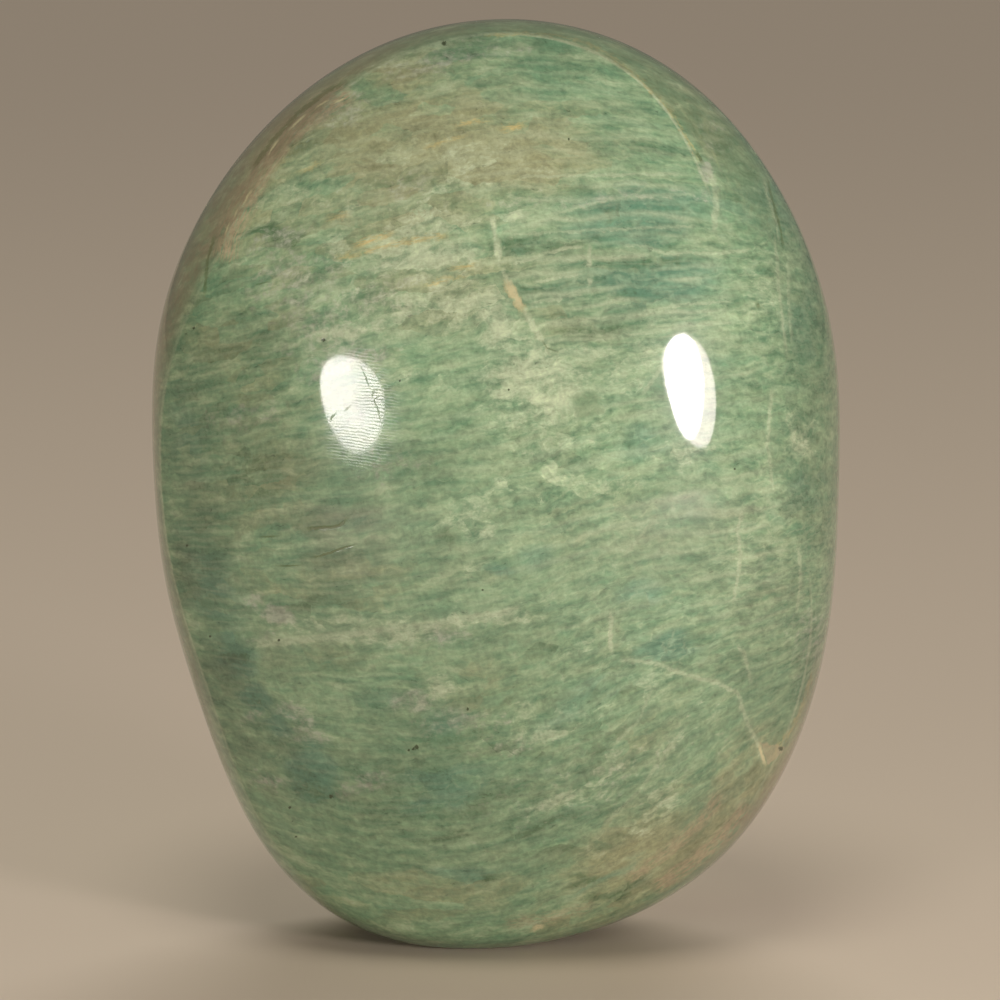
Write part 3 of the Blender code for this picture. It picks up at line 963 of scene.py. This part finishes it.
def make_amazonite(colours):
    """Polished feldspar: green clouds under pale streaks, stained veins and dark specks."""
    material = bpy.data.materials.new("amazonite")
    material.use_nodes = True
    nodes = NodeSet(material.node_tree)
    shader = material.node_tree.nodes["Principled BSDF"]

    object_place = nodes.add("ShaderNodeTexCoord").outputs["Object"]
    place = nodes.scaled(nodes.vector("SUBTRACT", object_place, HEART), 1 / MM)
    flow_node = nodes.add("ShaderNodeAttribute", {"attribute_name": "flow"})
    flow = flow_node.outputs["Vector"]
    # The flow's fourth value is painted shade and light, from the darkened and lightened patches.
    painted_shade_and_light = Amount(nodes, flow_node.outputs["Alpha"])
    crumpled = nodes.bend(flow, place, *CRUMPLE)

    teal, dark, pale, olive = read_attribute(nodes, "clouds")
    mist, network, mosaic, dull = read_attribute(nodes, "details")
    veins, cracks, stains, cream_and_glints = [read_attribute(nodes, name) for name in LINE_SETS]
    speck_x, speck_y, speck_near, _ = read_attribute(nodes, "specks")
    ridge, ridge_line, inside_rim, _ = read_attribute(nodes, "ridge")
    belt, belt_shade_and_stain, belt_brown, _ = read_attribute(nodes, "belt")
    flake_top, flake_right, flake_left, _ = read_attribute(nodes, "flake")
    window_sides = read_attribute(nodes, "window")

    long_bands = layered_noise(nodes, crumpled, LONG_BANDS)
    short_bands = layered_noise(nodes, crumpled, SHORT_BANDS)
    bands = long_bands + (short_bands - long_bands) * mosaic
    dashes = layered_noise(nodes, crumpled, DASHES)
    weave = layered_noise(nodes, flow, WEAVE)
    broad = layered_noise(nodes, crumpled, BROAD)
    mottle = layered_noise(nodes, crumpled, MOTTLE)
    wiggle = nodes.noise(place, WIGGLE_SIZE, 2.0, 0.6)
    grit = nodes.noise(place, GRIT_SIZE, 2.0, 0.6)
    ragged = nodes.bend(crumpled, place, *RAGGED_GRAINS)
    blocks, block_edge = crystal_grains(nodes, ragged, BLOCK_SIZE)
    cells, cell_edge = crystal_grains(nodes, ragged, CELL_SIZE)
    grain_tone, grain_hue, grain_milk = nodes.parts(nodes.mix(mosaic, blocks, cells))
    lamellae = draw_lamellae(nodes, flow, *LAMELLAE)
    fine_lamellae = draw_lamellae(nodes, flow, *FINE_LAMELLAE)

    # The green body and its clouds.
    colour = nodes.mix(bands.rise(0.35, 0.65), colours.green, colours.light_green)
    olive_share = olive * 0.9 - 0.06 + (grain_hue - 0.5) * 0.3 + (mottle - 0.5) * 0.6
    colour = nodes.mix(olive_share.rise(0.1, 0.75) * 0.9, colour, colours.olive)
    teal_share = teal * 0.9 + (grain_tone - 0.5) * 0.35 + (bands - 0.5) * 0.8
    colour = nodes.mix(teal_share.rise(0.2, 0.8) * 0.85, colour, colours.teal)
    dark_share = dark * 0.9 - (grain_milk - 0.5) * 0.25 + (mottle - 0.5) * 0.9
    dark_share = dark_share + (bands - 0.5) * 0.6 + (wiggle - 0.5) * 0.5
    colour = nodes.mix(dark_share.rise(0.28, 0.75) * 0.85, colour, colours.dark_green)
    mist_share = mist + (mottle - 0.5) * 1.6 + (wiggle - 0.5) * 0.8
    colour = nodes.mix(mist_share.rise(0.25, 0.85) * 0.75, colour, colours.mist)

    # The milky streaks, thin layers, grain edges and veins, and the stains over them.
    streak = bands.rise(0.50, 0.74) * (0.55 - network * 0.25 - mosaic * 0.16)
    web = lamellae * (network * 0.64 + 0.08)
    web = web.higher(fine_lamellae * (0.26 - mosaic * 0.14)) * (mottle + 0.45)
    web = web * ridge.rise(-1.0, 5.0)
    seam = block_edge.rise(0.20, 0.03) * network * mottle.rise(0.35, 0.55) * 0.45
    # The pale patches give milky clouds, and under the right highlight partly a painted glow.
    haze_and_glow = pale * 0.9 + (grain_milk - 0.5) * (mosaic * 0.16 + 0.28)
    haze_and_glow = haze_and_glow + (mottle - 0.5) * 1.1 + (wiggle - 0.5) * 0.4
    haze_and_glow = (haze_and_glow - (teal + dark) * 0.3).rise(0.2, 0.9) * 0.85
    crackle = cell_edge.rise(0.11, 0.02) * mottle.rise(0.40, 0.56) * mosaic * 0.30
    crackle = crackle * (1 - dark)
    vein = trace_vein(veins, wiggle, mottle)
    edge = abs(ridge + (wiggle - 0.5) * 0.3).rise(0.25, 0.05) * ridge_line * 0.8
    milk = streak.higher(seam).higher(haze_and_glow) * (1 - teal * 0.45)
    milk = milk.higher(web).higher(crackle).higher(vein).higher(edge)
    colour = nodes.mix(milk, colour, colours.pale)
    stain_colour = nodes.mix(stains[3].rise(0.4, 0.8), colours.rust, colours.tan)
    colour = nodes.mix(trace_stain(nodes, stains, wiggle) * 0.95, colour, stain_colour)

    # The fine light and dark of the grain, and the painted shade and light of the darkened and
    # lightened patches.
    tone = (dashes - 0.5) * 0.8 + (mottle - 0.5) * (mosaic * 0.4 + 0.6) + (weave - 0.5) * 0.4
    nick = layered_noise(nodes, crumpled, NICKS)
    tone = tone + (broad - 0.5) * 0.4 + (bands - 0.5) * 0.3
    tone = tone - nick.rise(0.64, 0.72) * long_bands.rise(0.55, 0.40) * 0.3
    shade = (1 + tone + (grain_milk - 0.5) * (mosaic * 0.1 + 0.14)) * (1 - painted_shade_and_light * 0.26)
    colour = nodes.shaded(colour, shade)

    # The belt outside the ridge: painted shade where it is dark green, brown stains, and painted
    # light and shade that make it lighter toward the top and darker toward the bottom.
    x, _, z = nodes.parts(place)
    threads = nodes.noise(nodes.combine(x / 3.0, z / 3.0, ridge / 0.3), 1.0, 3.0, 0.6)
    belt_colour = nodes.mix(belt_brown, colours.dark_green, colours.brown)
    belt_colour = nodes.mix(threads.rise(0.48, 0.68) * 0.7, belt_colour, colours.olive)
    # Painted light and shade: the belt is lighter toward the top and darker toward the bottom.
    belt_colour = nodes.shaded(belt_colour, z * 0.0045 + 1)
    outside = 0.35 + belt.rise(-2.5, 0.0) * 0.25 + belt_brown * 0.22
    outside = outside * belt.rise(0.1, -0.4) * belt_shade_and_stain
    outside = outside * (1 - (mottle - 0.5) * 1.6)
    colour = nodes.mix(outside, colour, belt_colour)

    # The flake, the cream lines and painted highlights, the clear grain, the cracks and the
    # specks.
    flake = flake_top.lower(flake_right).lower(flake_left) + (wiggle - 0.5) * 0.7
    flake = flake.rise(0.0, 0.25) * inside_rim * (mottle + 0.1)
    colour = nodes.mix(flake, colour, colours.tan)
    # Cream lines, and painted highlights where a glint stands at the base chip and the flake's
    # edge.
    colour = nodes.mix(trace_line(cream_and_glints, wiggle) * (grit + 0.4), colour, colours.cream)
    window = window_sides[0].lower(window_sides[1]).lower(window_sides[2]).lower(window_sides[3])
    window = window + (wiggle - 0.5) * 0.9 + (mottle - 0.5) * 1.4
    window = window.rise(-0.1, 0.5) * (mottle * 0.6 + 0.1)
    colour = nodes.mix(window, colour, colours.dark_green)
    crack = trace_line(cracks, wiggle)
    colour = nodes.mix(crack * 0.8, colour, colours.crack)
    speck_gap = (speck_x * speck_x + speck_y * speck_y) * (grit * 4.0 - 0.8)
    speck = speck_gap.rise(1.4, 0.3) * speck_near
    colour = nodes.mix(speck * 0.9, colour, colours.speck)

    # The polish, with its fine scratches and its faint relief.
    scratches = (z + x * 0.08) / SCRATCH_GAP + broad * 2.5 + wiggle * 0.7
    scratch = abs(scratches - scratches.calculate("FLOOR", scratches) - 0.5).rise(0.24, 0.12)
    roughness = POLISH + dull * (scratch * 0.26 + 0.01) + crack * 0.3
    relief = dashes * 0.0008 - crack * 0.02 - speck * 0.02
    bump = nodes.add("ShaderNodeBump", None, {
        "Strength": 1.0, "Distance": MM, "Height": relief,
    })
    for name, socket in (
        ("Base Color", colour), ("Roughness", roughness.socket), ("Normal", bump.outputs[0]),
    ):
        nodes.tree.links.new(socket, shader.inputs[name])
    for name, value in SHINE.items():
        shader.inputs[name].default_value = value
    return material


def make_polish_tree():
    """Geometry nodes for the last hand work: faint waves over the domes, and the flat spot."""
    tree = bpy.data.node_groups.new("hand polish", "GeometryNodeTree")
    for name, direction, kind in (
        ("Geometry", "INPUT", "Geometry"),
        ("Wave Size", "INPUT", "Float"),
        ("Wave Height", "INPUT", "Float"),
        ("Wave Seed", "INPUT", "Float"),
        ("Flat Edge", "INPUT", "Float"),
        ("Material", "INPUT", "Material"),
        ("Geometry", "OUTPUT", "Geometry"),
    ):
        tree.interface.new_socket(name, in_out=direction, socket_type=f"NodeSocket{kind}")
    nodes = NodeSet(tree)
    given = nodes.add("NodeGroupInput").outputs

    place = nodes.add("GeometryNodeInputPosition").outputs[0]
    normal = nodes.add("GeometryNodeInputNormal").outputs[0]
    wave = nodes.number("ShaderNodeTexNoise", {"noise_dimensions": "4D"}, {
        "Vector": place, "W": given["Wave Seed"], "Detail": 1.0,
        "Scale": 1 / Amount(nodes, given["Wave Size"]),
    })
    lift = (wave - 0.5) * Amount(nodes, given["Wave Height"])
    waved = nodes.add("GeometryNodeSetPosition", None, {
        "Geometry": given["Geometry"], "Offset": nodes.scaled(normal, lift),
    })
    moved = nodes.add("GeometryNodeInputPosition").outputs[0]
    x, y, z = nodes.parts(moved)
    standing = nodes.combine(x, y, z.calculate("SMOOTH_MAX", z, 0.0, given["Flat Edge"]))
    flattened = nodes.add("GeometryNodeSetPosition", None, {
        "Geometry": waved.outputs["Geometry"], "Position": standing,
    })
    realized = nodes.add("GeometryNodeRealizeInstances", None, {
        "Geometry": flattened.outputs["Geometry"],
    })
    finished = nodes.add("GeometryNodeSetMaterial", None, {
        "Geometry": realized.outputs["Geometry"], "Material": given["Material"],
    })
    nodes.add("NodeGroupOutput", None, {"Geometry": finished.outputs["Geometry"]})
    return tree


def set_inputs(modifier, values):
    """Set a Geometry Nodes modifier's inputs, which are stored under their identifiers."""
    for item in modifier.node_group.interface.items_tree:
        if item.in_out == "INPUT" and item.name in values:
            modifier[item.identifier] = values[item.name]


def apply_modifiers(rough, name):
    """A new object with the plain mesh that another's modifiers make. The other is removed."""
    graph = bpy.context.evaluated_depsgraph_get()
    mesh = bpy.data.meshes.new_from_object(rough.evaluated_get(graph))
    bpy.data.objects.remove(rough, do_unlink=True)
    piece = bpy.data.objects.new(name, mesh)
    mesh.name = name
    bpy.context.scene.collection.objects.link(piece)
    return piece


def shown_colour(name, description, red, green, blue):
    """A colour setting. Its default is a colour as a screen shows it, from 0 to 255."""
    return FloatVectorProperty(
        name=name, description=description, subtype="COLOR", default=linear(red, green, blue)
    )


class StoneSettings(bpy.types.PropertyGroup):
    """Sizes and colours of the stone."""

    grid_cuts: IntProperty(
        name="Grid Cuts", description="Cuts across each of the ball's six faces",
        default=125, min=7, max=127,
    )
    wave_size: FloatProperty(
        name="Wave Size", description="Width of the faint waves that hand polishing leaves",
        default=0.014, unit="LENGTH",
    )
    wave_height: FloatProperty(
        name="Wave Height", description="Height of the faint waves",
        default=0.00008, unit="LENGTH",
    )
    flat_edge: FloatProperty(
        name="Flat Edge", description="Softness of the flat spot's edge",
        default=0.0003, unit="LENGTH",
    )
    green: shown_colour("Green", "The stone's main green", 113, 154, 118)
    light_green: shown_colour("Light Green", "The main green where it is milky", 147, 176, 136)
    olive: shown_colour("Olive", "The yellower green clouds", 156, 158, 119)
    teal: shown_colour("Teal", "The bluer green clouds", 103, 149, 122)
    # Dark green also stands for painted shade, in the belt outside the ridge and along the left
    # side.
    dark_green: shown_colour("Dark Green", "The clear dark patches", 78, 111, 76)
    pale: shown_colour("Pale", "The pale streaks and veins", 191, 205, 170)
    rust: shown_colour("Rust", "The stains along cracks", 198, 184, 124)
    mist: shown_colour("Mist", "The cloudy grey patches", 172, 178, 160)
    tan: shown_colour("Tan", "The wide stains near the ridge", 178, 166, 134)
    # Cream also colours the painted highlights at the base chip and along the flake's edge.
    cream: shown_colour("Cream", "The bright side of the flake", 208, 202, 158)
    brown: shown_colour("Brown", "The stained belt around the edge", 146, 131, 103)
    speck: shown_colour("Speck", "The dark specks", 58, 70, 44)
    crack: shown_colour("Crack", "The fine olive cracks", 84, 98, 46)


class StudioSettings(bpy.types.PropertyGroup):
    """Sizes, colours and powers of the floor and the lights."""

    floor_size: FloatProperty(
        name="Floor Size", description="Length of the floor's sides", default=16.0, unit="LENGTH",
    )
    floor_colour: shown_colour("Floor Colour", "Colour of the floor", 203, 188, 169)
    sky_colour: shown_colour("Room Light", "Colour of the light from all around", 190, 180, 166)
    sky_strength: FloatProperty(
        name="Room Light Strength", description="Strength of the light from all around",
        default=0.26,
    )
    lamp_distance: FloatProperty(
        name="Lamp Distance", description="How far the two lamps stand from the stone",
        default=0.45, unit="LENGTH",
    )
    lamp_colour: FloatVectorProperty(
        name="Lamp Colour", description="Colour of the lamps' light", subtype="COLOR",
        default=(1.0, 0.92, 0.92),
    )
    rim_colour: FloatVectorProperty(
        name="Rim Colour", description="Colour of the wider lamp's light", subtype="COLOR",
        default=(1.0, 0.84, 0.84),
    )
    fill_colour: FloatVectorProperty(
        name="Fill Colour", description="Colour of the soft light in front", subtype="COLOR",
        default=(1.0, 0.98, 0.90),
    )
    left_power: FloatProperty(
        name="Left Power", description="Power of the left lamp", default=0.36, unit="POWER",
    )
    right_power: FloatProperty(
        name="Right Power", description="Power of the right lamp", default=0.76, unit="POWER",
    )
    rim_power: FloatProperty(
        name="Rim Power", description="Power of the wider lamp around the right lamp",
        default=0.31, unit="POWER",
    )
    front_fill: FloatProperty(
        name="Front Fill", description="Power of the soft light in front", default=3.9,
        unit="POWER",
    )
    back_fill: FloatProperty(
        name="Back Fill", description="Strength of the even light from behind, in watts "
        "for each square metre", default=2.0,
    )


class AMAZONITE_OT_stone(bpy.types.Operator):
    """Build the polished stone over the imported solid"""

    bl_idname = "amazonite.stone"
    bl_label = "Polished Stone"

    def execute(self, context):
        settings = context.scene.amazonite_stone
        mesh, ball = make_ball(settings.grid_cuts)
        shape_stone(mesh, ball)
        mesh.shade_smooth()
        rough = bpy.data.objects.new("rough_stone", mesh)
        context.scene.collection.objects.link(rough)
        polish = rough.modifiers.new("hand polish", "NODES")
        polish.node_group = make_polish_tree()
        set_inputs(polish, {
            "Wave Size": settings.wave_size,
            "Wave Height": settings.wave_height,
            "Wave Seed": WAVE_SEED,
            "Flat Edge": settings.flat_edge,
            "Material": make_amazonite(settings),
        })
        stone = apply_modifiers(rough, "polished_stone")
        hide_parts("stone")
        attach(stone, "root")
        return {"FINISHED"}


# A lamp: its width and its length in metres, where it stands seen from the heart, as angles to
# the side and above in degrees, and how far it leans over in degrees.
Lamp = namedtuple("Lamp", "name width length side height lean")

LEFT_LAMP = Lamp("left lamp", 0.129, 0.100, -33.9, 5.0, -1.4)
RIGHT_LAMP = Lamp("right lamp", 0.122, 0.077, 38.9, 6.8, -50.0)
RIGHT_RIM = Lamp("right rim", 0.166, 0.084, 41.1, 5.8, -33.0)
FRONT_FILL = Lamp("front fill", 0.5, 0.5, -8.0, 68.0, 0.0)
FRONT_FILL_DISTANCE = 1.2

# The light from behind: its angles to the side and above, and how wide it is, in degrees.
BACK_SIDE = 170.0
BACK_HEIGHT = 30.0
BACK_SPREAD = 40.0
BACK_DISTANCE = 2.0


def make_floor(settings):
    """A wide plain floor that fills the view."""
    mesh = bpy.data.meshes.new("studio_floor")
    grid = bmesh.new()
    bmesh.ops.create_grid(grid, x_segments=1, y_segments=1, size=settings.floor_size / 2)
    grid.to_mesh(mesh)
    grid.free()
    material = bpy.data.materials.new("studio floor")
    material.use_nodes = True
    shader = material.node_tree.nodes["Principled BSDF"]
    shader.inputs["Base Color"].default_value = (*settings.floor_colour, 1.0)
    shader.inputs["Roughness"].default_value = 0.9
    mesh.materials.append(material)
    floor = bpy.data.objects.new("studio_floor", mesh)
    bpy.context.scene.collection.objects.link(floor)


def place_light(light, side, height, distance, lean=0.0):
    """Turn a light to the heart, from an angle to the side and above, in degrees."""
    turn, rise = math.radians(side), math.radians(height)
    away = Vector((
        math.sin(turn) * math.cos(rise), -math.cos(turn) * math.cos(rise), math.sin(rise)
    ))
    facing = away.to_track_quat("Z", "Y") @ Quaternion((0, 0, 1), math.radians(lean))
    light.location = HEART + away * distance
    light.rotation_euler = facing.to_euler()
    light.visible_camera = False
    bpy.context.scene.collection.objects.link(light)


def make_lamp(form, colour, power, distance):
    """An oval lamp in its place, as an object."""
    lamp = bpy.data.lights.new(form.name, "AREA")
    lamp.shape = "ELLIPSE"
    lamp.size = form.width
    lamp.size_y = form.length
    lamp.energy = power
    lamp.color = colour
    light = bpy.data.objects.new(form.name, lamp)
    place_light(light, form.side, form.height, distance, form.lean)
    return light


def make_back_light(power):
    """Wide even light from behind, which makes no highlights."""
    sun = bpy.data.lights.new("back fill", "SUN")
    sun.angle = math.radians(BACK_SPREAD)
    sun.energy = power
    light = bpy.data.objects.new("back fill", sun)
    place_light(light, BACK_SIDE, BACK_HEIGHT, BACK_DISTANCE)
    light.visible_glossy = False


def make_room_light(settings):
    """Soft even light from all around."""
    world = bpy.data.worlds.new("studio")
    world.use_nodes = True
    background = world.node_tree.nodes["Background"]
    background.inputs["Color"].default_value = (*settings.sky_colour, 1.0)
    background.inputs["Strength"].default_value = settings.sky_strength
    bpy.context.scene.world = world


def make_camera():
    """The camera at the photograph's angle."""
    lens = bpy.data.cameras.new("camera")
    lens.sensor_width = SENSOR_WIDTH
    lens.lens = SENSOR_WIDTH * CAMERA_DISTANCE / (FRAME_WIDTH * PIXEL)
    away = Vector((0, -math.cos(CAMERA_ELEVATION), math.sin(CAMERA_ELEVATION)))
    up = Vector((0, math.sin(CAMERA_ELEVATION), math.cos(CAMERA_ELEVATION)))
    right = Vector((1, 0, 0))
    from_heart = right * (FRAME_WIDTH / 2 - HEART_PIXEL[0])
    from_heart -= up * (FRAME_WIDTH / 2 - HEART_PIXEL[1])
    camera = bpy.data.objects.new("camera", lens)
    camera.location = HEART + from_heart * PIXEL + away * CAMERA_DISTANCE
    camera.rotation_euler = away.to_track_quat("Z", "Y").to_euler()
    bpy.context.scene.collection.objects.link(camera)
    bpy.context.scene.camera = camera


class AMAZONITE_OT_stage(bpy.types.Operator):
    """Add the floor, the lights and the camera"""

    bl_idname = "amazonite.stage"
    bl_label = "Studio"

    def execute(self, context):
        settings = context.scene.amazonite_studio
        context.scene.view_settings.view_transform = "Standard"
        make_floor(settings)
        near = settings.lamp_distance
        make_lamp(LEFT_LAMP, settings.lamp_colour, settings.left_power, near)
        make_lamp(RIGHT_LAMP, settings.lamp_colour, settings.right_power, near)
        make_lamp(RIGHT_RIM, settings.rim_colour, settings.rim_power, near)
        front_fill = make_lamp(
            FRONT_FILL, settings.fill_colour, settings.front_fill, FRONT_FILL_DISTANCE
        )
        front_fill.visible_glossy = False
        make_back_light(settings.back_fill)
        make_room_light(settings)
        make_camera()
        return {"FINISHED"}


class AMAZONITE_PT_panel(bpy.types.Panel):
    """Buttons that build the stone and its studio"""

    bl_idname = "AMAZONITE_PT_panel"
    bl_label = "Amazonite Freeform"
    bl_space_type = "VIEW_3D"
    bl_region_type = "UI"
    bl_category = "Amazonite"

    def draw(self, context):
        self.layout.operator(AMAZONITE_OT_stone.bl_idname)
        self.layout.operator(AMAZONITE_OT_stage.bl_idname)


CLASSES = (
    StoneSettings, StudioSettings, AMAZONITE_OT_stone, AMAZONITE_OT_stage, AMAZONITE_PT_panel,
)


def register():
    for each in CLASSES:
        bpy.utils.register_class(each)
    bpy.types.Scene.amazonite_stone = PointerProperty(type=StoneSettings)
    bpy.types.Scene.amazonite_studio = PointerProperty(type=StudioSettings)


def unregister():
    del bpy.types.Scene.amazonite_studio
    del bpy.types.Scene.amazonite_stone
    for each in reversed(CLASSES):
        bpy.utils.unregister_class(each)


def main():
    register()
    bpy.ops.amazonite.stone()
    bpy.ops.amazonite.stage()


if __name__ == "__main__":
    main()
